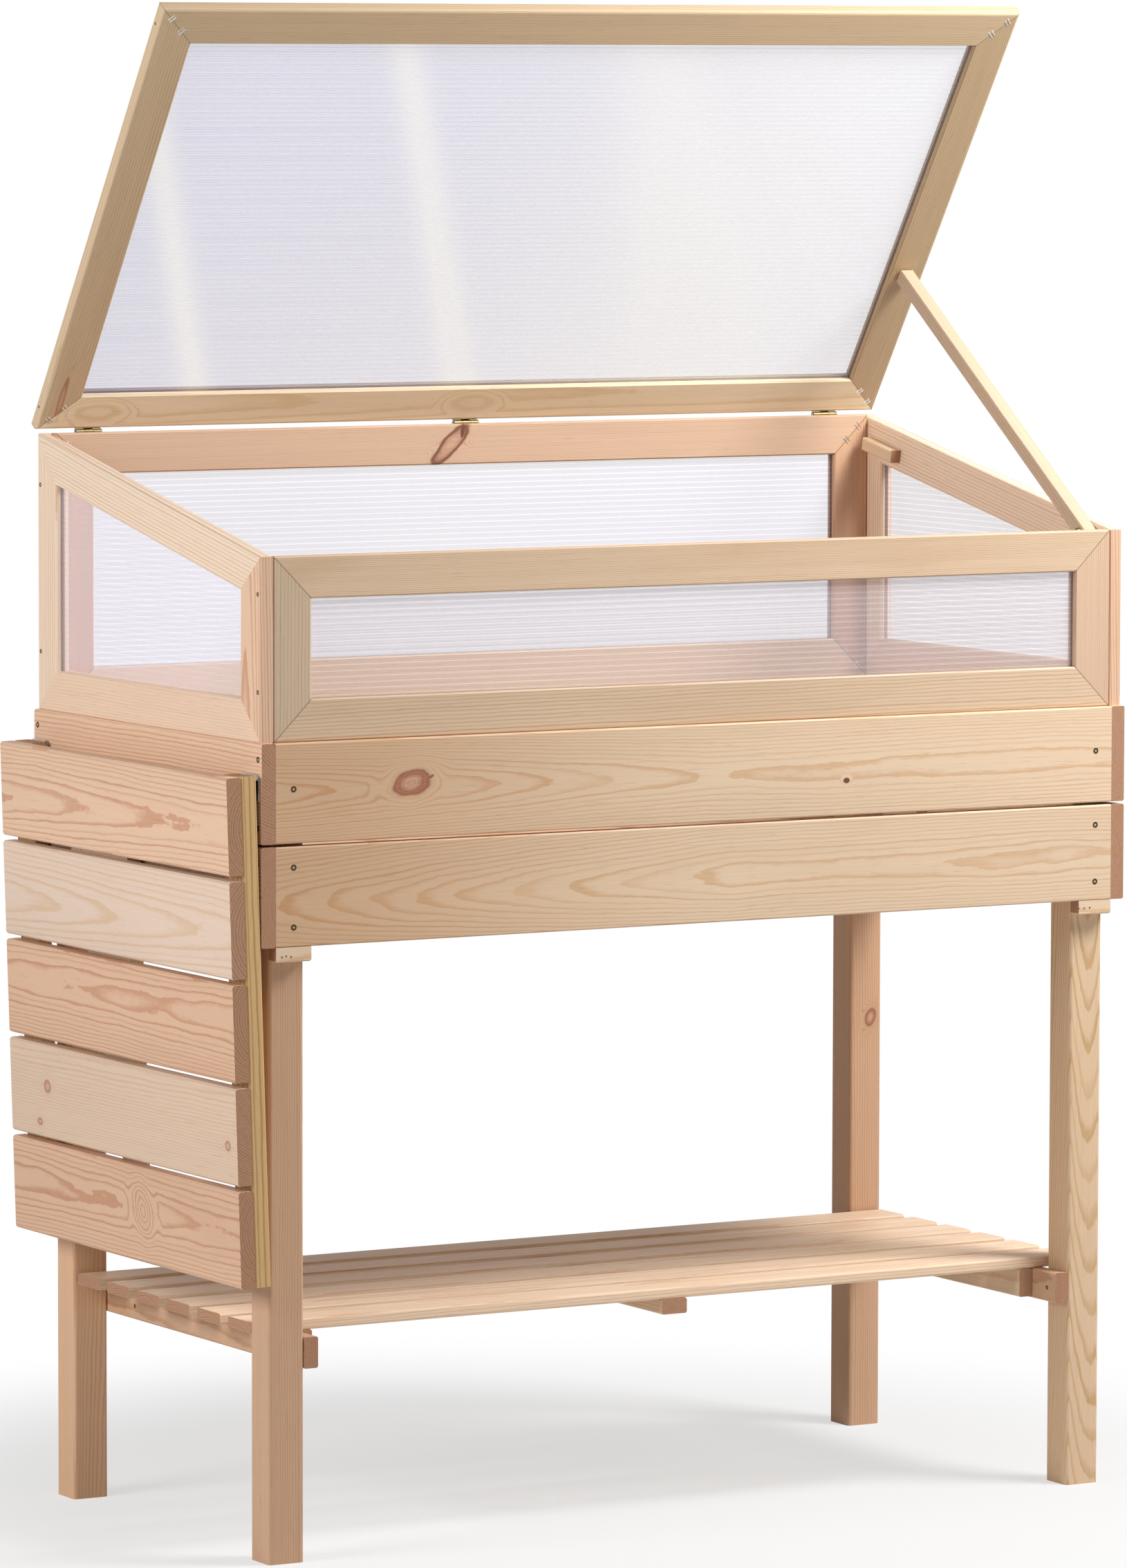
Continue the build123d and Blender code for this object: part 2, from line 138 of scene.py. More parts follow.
# Legs: four square posts of planed pine, rounded along their edges, screwed inside the bed's corners.
# Sawn beside the heart of the log, so that fine straight growth rings run up most sides; the front right leg
# is cut flat and shows arches.
class Field:
    """A number or a colour at each point of a surface: a shader socket that sums can be written with."""

    def __init__(self, tree, socket):
        self.tree = tree
        self.socket = socket

    def into(self, entry):
        """Links this into a shader entry."""
        self.tree.links.new(self.socket, entry)

    def math(self, operation, *others):
        """This number put through one of Blender's sums, with the others that it takes."""
        node = self.tree.nodes.new("ShaderNodeMath")
        node.operation = operation
        self.into(node.inputs[0])
        for other, entry in zip(others, node.inputs[1:]):
            feed(other, entry)
        return Field(self.tree, node.outputs[0])

    def __add__(self, other):
        return self.math("ADD", other)

    def __sub__(self, other):
        return self.math("SUBTRACT", other)

    def __mul__(self, other):
        return self.math("MULTIPLY", other)

    def __truediv__(self, other):
        return self.math("DIVIDE", other)

    def step(self, start, end):
        """Rises smoothly from nought at start to one at end."""
        node = self.tree.nodes.new("ShaderNodeMapRange")
        node.interpolation_type = "SMOOTHSTEP"
        node.inputs["From Min"].default_value = start
        node.inputs["From Max"].default_value = end
        self.into(node.inputs["Value"])
        return Field(self.tree, node.outputs["Result"])

    def ramp(self, *stops):
        """Colours laid along the number, each stop a place and a colour."""
        node = self.tree.nodes.new("ShaderNodeValToRGB")
        elements = node.color_ramp.elements
        while len(elements) < len(stops):
            elements.new(1)
        for element, (position, colour) in zip(elements, stops):
            element.position = position
            element.color = (*colour, 1)
        self.into(node.inputs[0])
        return Field(self.tree, node.outputs["Color"])

    def mixed(self, other, amount):
        """This colour with another laid over it."""
        node = self.tree.nodes.new("ShaderNodeMix")
        node.data_type = "RGBA"
        feed(amount, node.inputs[0])
        self.into(node.inputs[6])
        feed(other, node.inputs[7])
        return Field(self.tree, node.outputs[2])

    def scaled(self, amount):
        """This colour made lighter or darker."""
        node = self.tree.nodes.new("ShaderNodeVectorMath")
        node.operation = "SCALE"
        self.into(node.inputs[0])
        feed(amount, node.inputs["Scale"])
        return Field(self.tree, node.outputs[0])

    def parted(self):
        """The three numbers of a place or colour."""
        node = self.tree.nodes.new("ShaderNodeSeparateXYZ")
        self.into(node.inputs[0])
        return [Field(self.tree, socket) for socket in node.outputs]

    def chance(self):
        """Three numbers from nought to one that only change with this one."""
        node = self.tree.nodes.new("ShaderNodeTexWhiteNoise")
        node.noise_dimensions = "1D"
        self.into(node.inputs["W"])
        return Field(self.tree, node.outputs["Color"]).parted()

    def cloud(self, stretch, detail, seed):
        """Soft noise about nought over this place, with so many waves to the metre in each direction."""
        spread = self.tree.nodes.new("ShaderNodeVectorMath")
        spread.operation = "MULTIPLY_ADD"
        self.into(spread.inputs[0])
        spread.inputs[1].default_value = stretch
        spread.inputs[2].default_value = (seed * 3.7, seed * 1.9, seed * 2.3)
        noise = self.tree.nodes.new("ShaderNodeTexNoise")
        noise.inputs["Scale"].default_value = 1
        noise.inputs["Detail"].default_value = detail
        self.tree.links.new(spread.outputs[0], noise.inputs["Vector"])
        return Field(self.tree, noise.outputs[0]) - 0.5

    def raise_surface(self, finish, strength, distance):
        """Makes this number the relief of a finish."""
        node = self.tree.nodes.new("ShaderNodeBump")
        node.inputs["Strength"].default_value = strength
        node.inputs["Distance"].default_value = distance
        self.into(node.inputs["Height"])
        self.tree.links.new(node.outputs[0], finish.inputs["Normal"])


def feed(value, entry):
    """Links a field into a shader entry, or sets a plain number or colour there."""
    if isinstance(value, Field):
        value.into(entry)
    elif entry.type == "RGBA":
        entry.default_value = (*value, 1)
    else:
        entry.default_value = value


def blank_finish(title, middle, along, across):
    """A new material, its finish, the place from a piece's middle, and how squarely a face looks along the piece."""
    material = bpy.data.materials.new(title)
    material.use_nodes = True
    tree = material.node_tree
    along = Vector(along).normalized()
    across = Vector(across).normalized()
    coordinates = tree.nodes.new("ShaderNodeTexCoord")
    mapping = tree.nodes.new("ShaderNodeMapping")
    mapping.vector_type = "TEXTURE"
    mapping.inputs["Location"].default_value = middle
    mapping.inputs["Rotation"].default_value = Matrix((along, across, along.cross(across))).transposed().to_euler()
    tree.links.new(coordinates.outputs["Object"], mapping.inputs["Vector"])
    endwise = tree.nodes.new("ShaderNodeVectorMath")
    endwise.operation = "DOT_PRODUCT"
    endwise.inputs[1].default_value = along
    tree.links.new(coordinates.outputs["Normal"], endwise.inputs[0])
    squarely = Field(tree, endwise.outputs["Value"]).math("ABSOLUTE")
    return material, tree.nodes["Principled BSDF"], Field(tree, mapping.outputs[0]), squarely


def dress(name, along, across):
    """A blank finish put on a CAD node."""
    low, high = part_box(name)
    material, finish, place, endwise = blank_finish(f"{name}_finish", (Vector(low) + Vector(high)) / 2, along, across)
    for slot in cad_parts[name].material_slots:
        slot.material = material
    return finish, place, endwise


golden_pine = ((0.775, 0.555, 0.360), (0.630, 0.390, 0.195))
tan_pine = ((0.630, 0.395, 0.250), (0.515, 0.285, 0.160))
# A lighter stock for the back left leg paints light where the table shades its front.
apricot_pine_painted_light = ((0.780, 0.490, 0.300), (0.640, 0.370, 0.205))
end_grain = (0.40, 0.20, 0.112)
knot_core = (0.56, 0.315, 0.205)
knot_wood = (0.42, 0.170, 0.095)
knot_rim = (0.17, 0.060, 0.030)
Knot = namedtuple("Knot", "along across half_length half_width tilt wood rim swirl", defaults=(0, 1, 0, 1))


def pine(name, grain, face, stock, seed, pith=(0.05, 0.04), lean=0.004, straight_from=9, ring=0.0021, wave=1,
         patch=0.2, painted_end_shade=0, knots=(), mitre=None, pitch=0):
    """Planed pine: growth rings about a pith line beside or behind the board, patches, fibres, knots and end grain.

    The pith lies so far across the face and through the board, and leans along the grain up to the place that
    it runs straight from. Painted shade darkens and reddens the start of the board, by the amount given. A knot
    has a place along and across the board, half its length and width, its tilt, how strongly its wood and its
    bark rim show, and how many rings it draws round itself; one without wood is all bark. A mitred bar is given
    as the length of its middle line and the side of its outer edge, for the dark seam at its ends. A pitch stands
    for a row of boards that share one node, side by side.
    """
    long_wave, short_wave, ripple = 0.009, 0.0026 * wave, 0.0005
    early, late_wood = stock
    finish, place, endwise = dress(name, grain, face)
    u, v, w = place.parted()
    shade = 1
    if pitch:
        board = (v / pitch).math("FLOOR")
        v = v - (board + 0.5) * pitch
        first, second, third = (board + seed).chance()
        together = place.tree.nodes.new("ShaderNodeCombineXYZ")
        for number, entry in zip((u + first * 5, v + board, w), together.inputs):
            number.into(entry)
        place = Field(place.tree, together.outputs[0])
        u = u + (first - 0.5) * 2
        v = v + (second - 0.5) * 0.03
        shade = third * 0.1 + 0.95
    shade = place.cloud((1.2, 9, 9), detail=1, seed=seed) * 0.2 + shade

    # The distance from the pith, with long, middling and fine waves in it, and drawn in round each knot.
    run = u.math("MINIMUM", straight_from)
    beside = v - pith[0] - run * (lean * 0.3)
    behind = w - pith[1] - run * lean
    radius = (beside * beside + behind * behind).math("SQRT")
    radius = radius + place.cloud((1.6, 7, 7), detail=1, seed=seed + 1) * long_wave
    radius = radius + place.cloud((10, 42, 42), detail=2, seed=seed + 2) * short_wave
    radius = radius + place.cloud((110, 260, 260), detail=1, seed=seed + 3) * ripple
    spots = []
    for knot in knots:
        du = u - knot.along
        dv = v - knot.across
        tilt = radians(knot.tilt)
        out_u = (du * cos(tilt) + dv * sin(tilt)) / knot.half_length
        out_v = (dv * cos(tilt) - du * sin(tilt)) / knot.half_width
        out = (out_u * out_u + out_v * out_v).math("SQRT") + place.cloud((40, 80, 80), detail=2, seed=seed + 4) * 0.5
        knot_lean = min(knot.along, straight_from) * lean
        start = hypot(knot.across - pith[0] - knot_lean * 0.3, pith[1] + knot_lean) // ring * ring
        radius = radius + (out * (ring * knot.swirl) + start - radius) * out.step(2.6, 0.8)
        spots.append((out, knot.wood, knot.rim))

    # Late wood darkens slowly through the second half of each ring and ends sharply; some rings are stronger.
    rings = radius / ring
    growth = rings.math("FRACT")
    strength, *_ = rings.math("FLOOR").chance()
    late = growth.step(0.5, 0.89) * growth.step(1, 0.92) * (strength * 0.8 + 0.55)
    colour = late.ramp((0, early), (1, late_wood))

    # Redder patches, painted shade that darkens and reddens the start of the board, fibres and resin flecks, then the
    # knots, the mitre's seam and the end grain.
    blush = place.cloud((3, 16, 16), detail=2, seed=seed + 5).step(0.0, 0.25) * patch
    colour = colour.mixed(late_wood, blush)
    if painted_end_shade:
        painted_shade_tone = [part * amount for part, amount in zip(late_wood, (0.92, 0.89, 0.88))]
        painted_deep_shade_tone = [part * amount for part, amount in zip(late_wood, (0.82, 0.66, 0.52))]
        colour = colour.mixed(late.ramp((0, painted_shade_tone), (1, painted_deep_shade_tone)), u.step(0.05, -0.5) * painted_end_shade)
    fibre = place.cloud((9, 480, 480), detail=1, seed=seed + 6)
    fleck = place.cloud((40, 900, 900), detail=0, seed=seed + 7).step(0.17, 0.3)
    colour = colour.scaled(shade + fibre * 0.11 - fleck * 0.1)
    for out, wood, rim in spots:
        colour = colour.mixed(late_wood, (out * out * -0.35).math("EXPONENT") * (0.7 * wood))
        heart = out.ramp((0, knot_core), (0.4, knot_core), (0.6, knot_wood), (1, knot_wood))
        heart = heart.scaled((out * 26).math("SINE") * 0.08 + fibre * 0.4 + 1)
        colour = colour.mixed(heart, out.step(1.06, 0.92) * wood)
        bark = out.step(1.22, 1) * rim
        if wood:
            bark = bark * out.step(0.6, 0.95)
        colour = colour.mixed(knot_rim, bark)
    if mitre:
        bar_length, outer_edge = mitre
        to_cut = v * outer_edge + bar_length / 2 - u.math("ABSOLUTE")
        colour = colour.scaled(to_cut.step(0.0014, 0.0003) * -0.45 + 1)
    end = endwise.step(0.75, 0.95)
    cut = colour.mixed(end_grain, 0.9).scaled(late * -0.28 + fibre * 0.35 + 1.06)
    colour = colour.mixed(cut, end)
    colour.into(finish.inputs["Base Color"])

    # Late wood is a little smoother and lies a little lower.
    (fibre * 0.2 + late * -0.07 + end * 0.2 + 0.55).into(finish.inputs["Roughness"])
    finish.inputs["Specular IOR Level"].default_value = 0.35
    (late * -0.4 + fibre).raise_surface(finish, 0.2, 0.0002)


length, depth, height = (1, 0, 0), (0, 1, 0), (0, 0, 1)
pine("leg_front_left", height, length, tan_pine, seed=11, pith=(0.05, -0.06))
pine("leg_front_right", height, length, golden_pine, seed=12, pith=(0.007, 0.03), lean=-0.055, ring=0.0026)
# Painted light: the back left leg has a lighter stock against the table's shadow.
pine("leg_back_left", height, length, apricot_pine_painted_light, seed=13, pith=(0.04, 0.05))
pine("leg_back_right", height, length, tan_pine, seed=14, pith=(-0.05, 0.04), knots=[
    Knot(0.043, 0.006, 0.010, 0.0065, tilt=20, wood=0.8, rim=0.5, swirl=2),
])


# Bed walls: planed pine boards two high, lapped at the corners, flat sawn so that the rings make long arches.
# A large knot shows left of the middle of the upper front board. Yellow-plated countersunk screws fix the boards
# to the legs.
pale_pine = ((0.785, 0.590, 0.410), (0.690, 0.455, 0.275))
# Both front boards carry painted shade, darker and redder towards their left ends.
pine("board_front_upper", length, height, pale_pine, seed=21, pith=(-0.004, -0.037), lean=-0.03, straight_from=0,
     ring=0.0023, painted_end_shade=0.9, knots=[
         Knot(-0.345, 0.005, 0.0215, 0.0135, tilt=11, rim=0.25, swirl=3),
         Knot(-0.3225, 0.0105, 0.003, 0.0012, tilt=30, wood=0, rim=0.8),
         Knot(0.170, -0.0145, 0.0034, 0.0026, wood=0, rim=1),
     ])
pine("board_front_lower", length, height, pale_pine, seed=22, pith=(-0.002, -0.037), lean=0.04, straight_from=0.03,
     ring=0.0025, wave=1.3, patch=0.3, painted_end_shade=0.9)
pine("board_back_upper", length, height, pale_pine, seed=23, pith=(-0.01, 0.04), lean=0.018, knots=[
    Knot(0.21, 0.012, 0.016, 0.011, tilt=-8, wood=0.9, rim=0.4, swirl=2.5),
])
rosy_pine = ((0.770, 0.520, 0.355), (0.600, 0.320, 0.190))
pine("board_back_lower", length, height, rosy_pine, seed=24, pith=(0.01, 0.045), lean=-0.012)
pine("board_left_upper", depth, height, rosy_pine, seed=25, pith=(0.09, 0.05), ring=0.003)
pine("board_left_lower", depth, height, rosy_pine, seed=26, pith=(-0.01, 0.05), lean=0.02)
pine("board_right_upper", depth, height, pale_pine, seed=27, pith=(0.008, -0.05), lean=0.022)
pine("board_right_lower", depth, height, rosy_pine, seed=28, pith=(-0.006, -0.055), lean=-0.02, knots=[
    Knot(0.12, 0.018, 0.013, 0.009, tilt=10, wood=0.85, rim=0.4, swirl=2.5),
])


def plated(finish, place, colour, dull, seed):
    """Plated steel with cloudy passivation and fine scratches."""
    bloom = place.cloud((60, 60, 60), detail=3, seed=seed)
    scratch = place.cloud((90, 1500, 1500), detail=1, seed=seed + 1)
    bloom.step(-0.3, 0.3).ramp((0, [part * 0.6 for part in colour]), (1, colour)).into(finish.inputs["Base Color"])
    finish.inputs["Metallic"].default_value = 1
    (bloom * 0.3 + scratch * 0.2 + dull).into(finish.inputs["Roughness"])


def fixings(name, body, slot, mesh, *materials):
    """A mesh of many small fixings made one piece that moves with a body."""
    data = bpy.data.meshes.new(name)
    mesh.to_mesh(data)
    mesh.free()
    for material in materials:
        data.materials.append(material)
    piece = bpy.data.objects.new(name, data)
    scene.collection.objects.link(piece)
    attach(piece, body)


yellow_zinc = (0.26, 0.19, 0.085)
screw_metal, screw_finish, screw_place, _ = blank_finish("screw_zinc", (0, 0, 0), length, height)
plated(screw_finish, screw_place, yellow_zinc, dull=0.45, seed=29)
# Painted shadow: the nearly black rim and recess on each screw and nail head stand for the shade inside a sunk hole,
# which the boards don't have.
hole_shadow_material, hole_shadow_finish, hole_place, _ = blank_finish("screw_hole_shadow", (0, 0, 0), length, height)
hole_shade = hole_place.cloud((400, 400, 400), detail=2, seed=30).step(-0.3, 0.3)
hole_shade.ramp((0, (0.02, 0.012, 0.007)), (1, (0.06, 0.038, 0.02))).into(hole_shadow_finish.inputs["Base Color"])
hole_shadow_finish.inputs["Roughness"].default_value = 0.9


def screws(name, body, slot, width, places):
    """Countersunk screws, each at a place and facing outwards, with painted shadow of a sunk hole: a dark rim round the
    head and a dark cross recess.
    """
    head_height, rim_depth, head_rise, recess_depth = 0.0004, 0.0001, 0.00004, 0.0001
    top_radius, rim_width, recess_inset = width * 0.48, width * 0.22, width * 0.1
    cross_pinch = (0.4, 0.4, 0.4)
    mesh = bmesh.new()
    for place, facing in places:
        facing = Vector(facing)
        stand = Matrix.Translation(place) @ facing.to_track_quat("Z", "Y").to_matrix().to_4x4()
        made = bmesh.ops.create_cone(
            mesh, cap_ends=True, segments=16, radius1=width / 2, radius2=top_radius, depth=head_height, matrix=stand)
        mesh.normal_update()
        sides = {face for vert in made["verts"] for face in vert.link_faces}
        head = max(sides, key=lambda face: face.normal.dot(facing))
        rim = bmesh.ops.inset_individual(mesh, faces=[head], thickness=rim_width, depth=-rim_depth)
        # The rim and the cross recess take the painted shadow.
        for face in rim["faces"]:
            face.material_index = 1
        bmesh.ops.inset_individual(mesh, faces=[head], thickness=recess_inset, depth=head_rise)
        for corner, vert in enumerate(head.verts):
            if corner % 4:
                bmesh.ops.scale(mesh, vec=cross_pinch, space=Matrix.Translation(-Vector(place)), verts=[vert])
        bmesh.ops.translate(mesh, vec=facing * -recess_depth, verts=head.verts)
        head.material_index = 1
    fixings(name, body, slot, mesh, screw_metal, hole_shadow_material)


bed_middle = 0.020
half_length, half_depth = 0.516, 0.255
leg_line, end_line = 0.480, 0.247
long_heights, end_heights = (0.7856, 0.707, 0.6468), (0.816, 0.747, 0.712, 0.643)
wall_screws = []
for side in (-1, 1):
    for end in (-1, 1):
        wall_screws += [((bed_middle + side * leg_line, end * half_depth, z), (0, end, 0)) for z in long_heights]
        wall_screws += [((bed_middle + side * half_length, end * end_line, z), (side, 0, 0)) for z in end_heights]
screws("wall_screws", "bed", "yellow_zinc", width=0.0066, places=wall_screws)


# Support blocks, bearers and floor: offcuts nailed to the legs under the long walls, and loose boards inside
# the bed on two bearers, with gaps that drain the soil. Three nail heads show on each block.
pine("support_blocks", length, depth, pale_pine, seed=31)
pine("floor_bearers", length, height, rosy_pine, seed=32)
pine("floor_boards", depth, length, pale_pine, seed=33, pith=(0, 0.05), lean=0.02, pitch=0.1)
block_nails = []
for end in (-1, 1):
    for x, z in ((-0.4933, 0.6175), (-0.4886, 0.6183), (-0.4831, 0.6173),
                 (0.4597, 0.6192), (0.4667, 0.6190), (0.4737, 0.6194)):
        block_nails.append(((bed_middle + x, end * half_depth, z), (0, end, 0)))
screws("block_nails", "bed", "zinc_steel", width=0.002, places=block_nails)


# Shelf: six pine slats with rounded edges, nailed to three battens across them and resting on two rails.
# Screws hold the rails to the legs, and the end battens to the rails.
# The shelf's stock is made lighter to paint light onto slats that the bed shades.
shelf_pine_painted_light = ((0.870, 0.655, 0.470), (0.730, 0.470, 0.290))
pine("shelf_slats", length, depth, shelf_pine_painted_light, seed=41, pith=(0.01, -0.04), lean=0.008, ring=0.0026, pitch=0.068)
pine("shelf_rails", depth, height, tan_pine, seed=42, pith=(0.04, 0.05))
pine("shelf_battens", depth, height, pale_pine, seed=43, pith=(0.04, 0.05))
shelf_screws = []
for x, y, z in ((-0.460, 0.136, 0.211), (0.444, 0.2236, 0.212), (0.428, 0.187, 0.2036)):
    shelf_screws += [((bed_middle + x, end * y, z), (-1, 0, 0)) for end in (-1, 1)]
screws("shelf_screws", "bed", "yellow_zinc", width=0.0045, places=shelf_screws)


# Cold frame: sixteen pine bars, mitred and stapled into four glazed frames that stand on the bed's rim.
# The side frames slope down to the front and are screwed to the front and back ones.
frame_width = 0.043
frame_length, front_height, back_height = 0.999, 0.1865, 0.2895
long_bar, low_post, high_post = (size - frame_width for size in (frame_length, front_height, back_height))
slope = radians(11.697)
downhill = (0, cos(slope), sin(slope))
off_slope = (0, -sin(slope), cos(slope))
peach_pine = ((0.680, 0.470, 0.330), (0.575, 0.365, 0.235))
honey_pine = ((0.695, 0.515, 0.355), (0.555, 0.360, 0.215))
ashen_pine = ((0.640, 0.480, 0.335), (0.520, 0.365, 0.235))
cream_pine = ((0.860, 0.680, 0.530), (0.700, 0.460, 0.280))
shell_pine = ((0.810, 0.590, 0.430), (0.730, 0.490, 0.340))
pine("cold_frame_front_bottom", length, height, honey_pine, seed=51, pith=(-0.07, -0.03), lean=0.012, ring=0.0034,
     wave=1.3, mitre=(long_bar, -1))
pine("cold_frame_front_right", height, length, peach_pine, seed=52, pith=(0.07, 0.06), ring=0.0016, patch=0.1,
     mitre=(low_post, 1))
pine("cold_frame_front_top", length, height, honey_pine, seed=53, pith=(-0.08, 0.03), ring=0.0018, patch=0.5,
     mitre=(long_bar, 1))
pine("cold_frame_front_left", height, length, ashen_pine, seed=54, pith=(-0.07, 0.03), ring=0.0034, wave=1.5,
     mitre=(low_post, -1))
pine("cold_frame_back_bottom", length, height, pale_pine, seed=55, pith=(-0.055, 0.03), mitre=(long_bar, -1))
pine("cold_frame_back_right", height, length, tan_pine, seed=56, pith=(0.05, 0.04), ring=0.0018, mitre=(high_post, 1))
pine("cold_frame_back_top", length, height, peach_pine, seed=57, pith=(0.07, 0.03), ring=0.0018, patch=0.35, knots=[
    Knot(-0.028, 0.000, 0.027, 0.009, tilt=43, wood=0.5, rim=0.9, swirl=2),
    Knot(-0.0135, 0.0145, 0.007, 0.0021, tilt=80, wood=0, rim=1),
], mitre=(long_bar, 1))
pine("cold_frame_back_left", height, length, tan_pine, seed=58, pith=(0.06, 0.03), ring=0.0018, mitre=(high_post, -1))
for wall, seed in (("left", 61), ("right", 65)):
    pine(f"cold_frame_{wall}_bottom", depth, height, shell_pine, seed=seed, pith=(0.06, 0.03), ring=0.0028)
    pine(f"cold_frame_{wall}_back", height, depth, cream_pine, seed=seed + 1, pith=(-0.06, 0.04), ring=0.0036)
    pine(f"cold_frame_{wall}_top", downhill, off_slope, cream_pine, seed=seed + 2, pith=(0.07, 0.03), ring=0.0036)
    pine(f"cold_frame_{wall}_front", height, depth, rosy_pine, seed=seed + 3, pith=(0.01, 0.05), lean=0.02, ring=0.003)
frame_end = 0.5145
frame_screws = []
for side in (-1, 1):
    for y, z in ((0.242, 1.068), (0.242, 0.8935), (-0.244, 0.981), (-0.244, 0.883)):
        frame_screws.append(((bed_middle + side * frame_end, y, z), (side, 0, 0)))
screws("frame_screws", "bed", "yellow_zinc", width=0.0048, places=frame_screws)

staple_zinc = (0.85, 0.85, 0.86)
staple_metal, staple_finish, staple_place, _ = blank_finish("staple_zinc", (0, 0, 0), length, height)
plated(staple_finish, staple_place, staple_zinc, dull=0.3, seed=69)


def staples(name, body, across, up, corners):
    """Pairs of flat wires over mitred corners: each corner is its tip and which way the frame lies from it."""
    wire_length, wire_width, wire_height, wire_round = 0.0085, 0.0014, 0.0008, 0.00025
    half_gap = 0.0018
    reaches = (0.0175, 0.0385)
    mesh = bmesh.new()
    facing = Vector(across).cross(Vector(up))
    for tip, to_middle, to_other in corners:
        inward = (Vector(across) * to_middle + Vector(up) * to_other).normalized()
        over = inward.cross(facing)
        for reach in reaches:
            for aside in (-half_gap, half_gap):
                wire = Vector(tip) + inward * (reach + aside)
                stand = Matrix((over, inward, over.cross(inward))).transposed().to_4x4()
                sizes = Matrix.Diagonal((wire_length, wire_width, wire_height, 1))
                made = bmesh.ops.create_cube(mesh, size=1, matrix=Matrix.Translation(wire) @ stand @ sizes)
                rims = [edge for edge in mesh.edges if edge.verts[0] in made["verts"]]
                bmesh.ops.bevel(
                    mesh, geom=rims, offset=wire_round, affect="EDGES", segments=1, profile=0.5, material=-1)
    bmesh.ops.recalc_face_normals(mesh, faces=mesh.faces)
    fixings(name, body, "zinc_steel", mesh, staple_metal)


bed_top = 0.832
for wall, y, top in (("front", -0.240, bed_top + front_height), ("back", 0.233, bed_top + back_height)):
    staples(f"{wall}_frame_staples", "bed", length, height, [
        ((bed_middle + side * frame_length / 2, y, z), -side, up)
        for side in (-1, 1) for z, up in ((bed_top, 1), (top, -1))])


# Panes: clear twin-wall polycarbonate, 4 mm thick, slid into the grooves of the frames with its channels level.
# Two skins and a rib every 6 mm; the sheet has a faint violet cast and is milkier along the ribs.
rib_pitch = 0.006
rib_white = (0.97, 0.96, 1)
# A painted reflection: a soft bright band painted into a pane's colour where lamps are reflected, given by its place
# along the sheet, slant, half width and strength.
PaintedReflection = namedtuple("PaintedReflection", "along slant half_width strength")


def twin_wall(name, along, across, seed, first_rib, milky=0.2, tint_and_shade=(0.66, 0.61, 0.74), painted_reflections=()):
    """Clear sheet with a milky line on every rib, faint haze, and painted reflections: soft bright bands across the
    ribs.

    The first rib lies so far from the sheet's middle.
    """
    finish, place, _ = dress(name, along, across)
    u, v, _ = place.parted()
    from_rib = ((v - first_rib) / rib_pitch).math("PINGPONG", 0.5) * 2
    line = from_rib.step(0.5, 0.15)
    uneven = place.cloud((0.5, 170, 0), detail=0, seed=seed)
    haze_and_reflections = place.cloud((2.2, 0.8, 0), detail=1, seed=seed + 1).step(-0.2, 0.2) * 0.15
    for painted_streak in painted_reflections:
        aside = (u - v * painted_streak.slant - painted_streak.along) / painted_streak.half_width
        haze_and_reflections = haze_and_reflections + (aside * aside * -1).math("EXPONENT") * painted_streak.strength
    milk_and_reflections = line * (uneven * 0.8 + 0.85) + haze_and_reflections
    milk_and_reflections.ramp((0, tint_and_shade), (1, rib_white)).into(finish.inputs["Base Color"])
    finish.inputs["Alpha"].default_value = milky
    (line * 0.1 + 0.16).into(finish.inputs["Roughness"])
    finish.inputs["IOR"].default_value = 1.58


# Each pane's tint is the sheet's violet cast, made lighter or darker from pane to pane as painted shade; the lid pane's
# dark blue is the deepest.
twin_wall("pane_front", length, height, seed=71, first_rib=0, milky=0.14, tint_and_shade=(0.72, 0.65, 0.69))
twin_wall("pane_back", length, height, seed=72, first_rib=rib_pitch / 2, milky=0.09, tint_and_shade=(0.48, 0.44, 0.70))
twin_wall("pane_left", depth, height, seed=73, first_rib=0, milky=0.13, tint_and_shade=(0.84, 0.80, 0.96))
twin_wall("pane_right", depth, height, seed=74, first_rib=0, milky=0.13)


# Lid: a mitred and stapled pine frame round one more twin-wall pane, propped open.
# Its outer edges are well rounded, and a nail head shows near each end of its sides.
lid_length, lid_depth, lid_thickness = 1.032, 0.528, 0.015
lid_tilt = radians(56)
lid_run = Vector((0, -cos(lid_tilt), sin(lid_tilt)))
lid_under = Vector((0, -sin(lid_tilt), -cos(lid_tilt)))
lid_pin = Vector((bed_middle, 0.251, 1.122))
# The lid's stocks paint its light and shade: the front and side rails are darker and more olive, painted shade, and the
# back rail is lighter, painted light.
straw_pine_painted_light = ((0.890, 0.740, 0.530), (0.800, 0.620, 0.390))
olive_pine_painted_shade = ((0.640, 0.475, 0.305), (0.520, 0.355, 0.195))
dusky_pine_painted_shade = ((0.560, 0.405, 0.245), (0.450, 0.300, 0.155))
lid_bar, lid_side = lid_length - frame_width, lid_depth - frame_width
pine("lid_back", length, lid_run, straw_pine_painted_light, seed=81, pith=(0.01, 0.05), lean=0.012, ring=0.0045, knots=[
    Knot(-0.45, 0.0, 0.022, 0.0085, wood=0.05, swirl=0.9),
    Knot(0.0, 0.002, 0.020, 0.008, wood=0.05, swirl=0.9),
], mitre=(lid_bar, -1))
pine("lid_front", length, lid_run, olive_pine_painted_shade, seed=82, pith=(-0.06, 0.05), ring=0.0018, mitre=(lid_bar, 1))
pine("lid_left", lid_run, length, olive_pine_painted_shade, seed=83, pith=(0.06, 0.05), ring=0.0024, knots=[
    Knot(-0.226, -0.002, 0.03, 0.0036, wood=0.7),
], mitre=(lid_side, -1))
pine("lid_right", lid_run, length, dusky_pine_painted_shade, seed=84, pith=(-0.06, 0.04), ring=0.0024, mitre=(lid_side, 1))
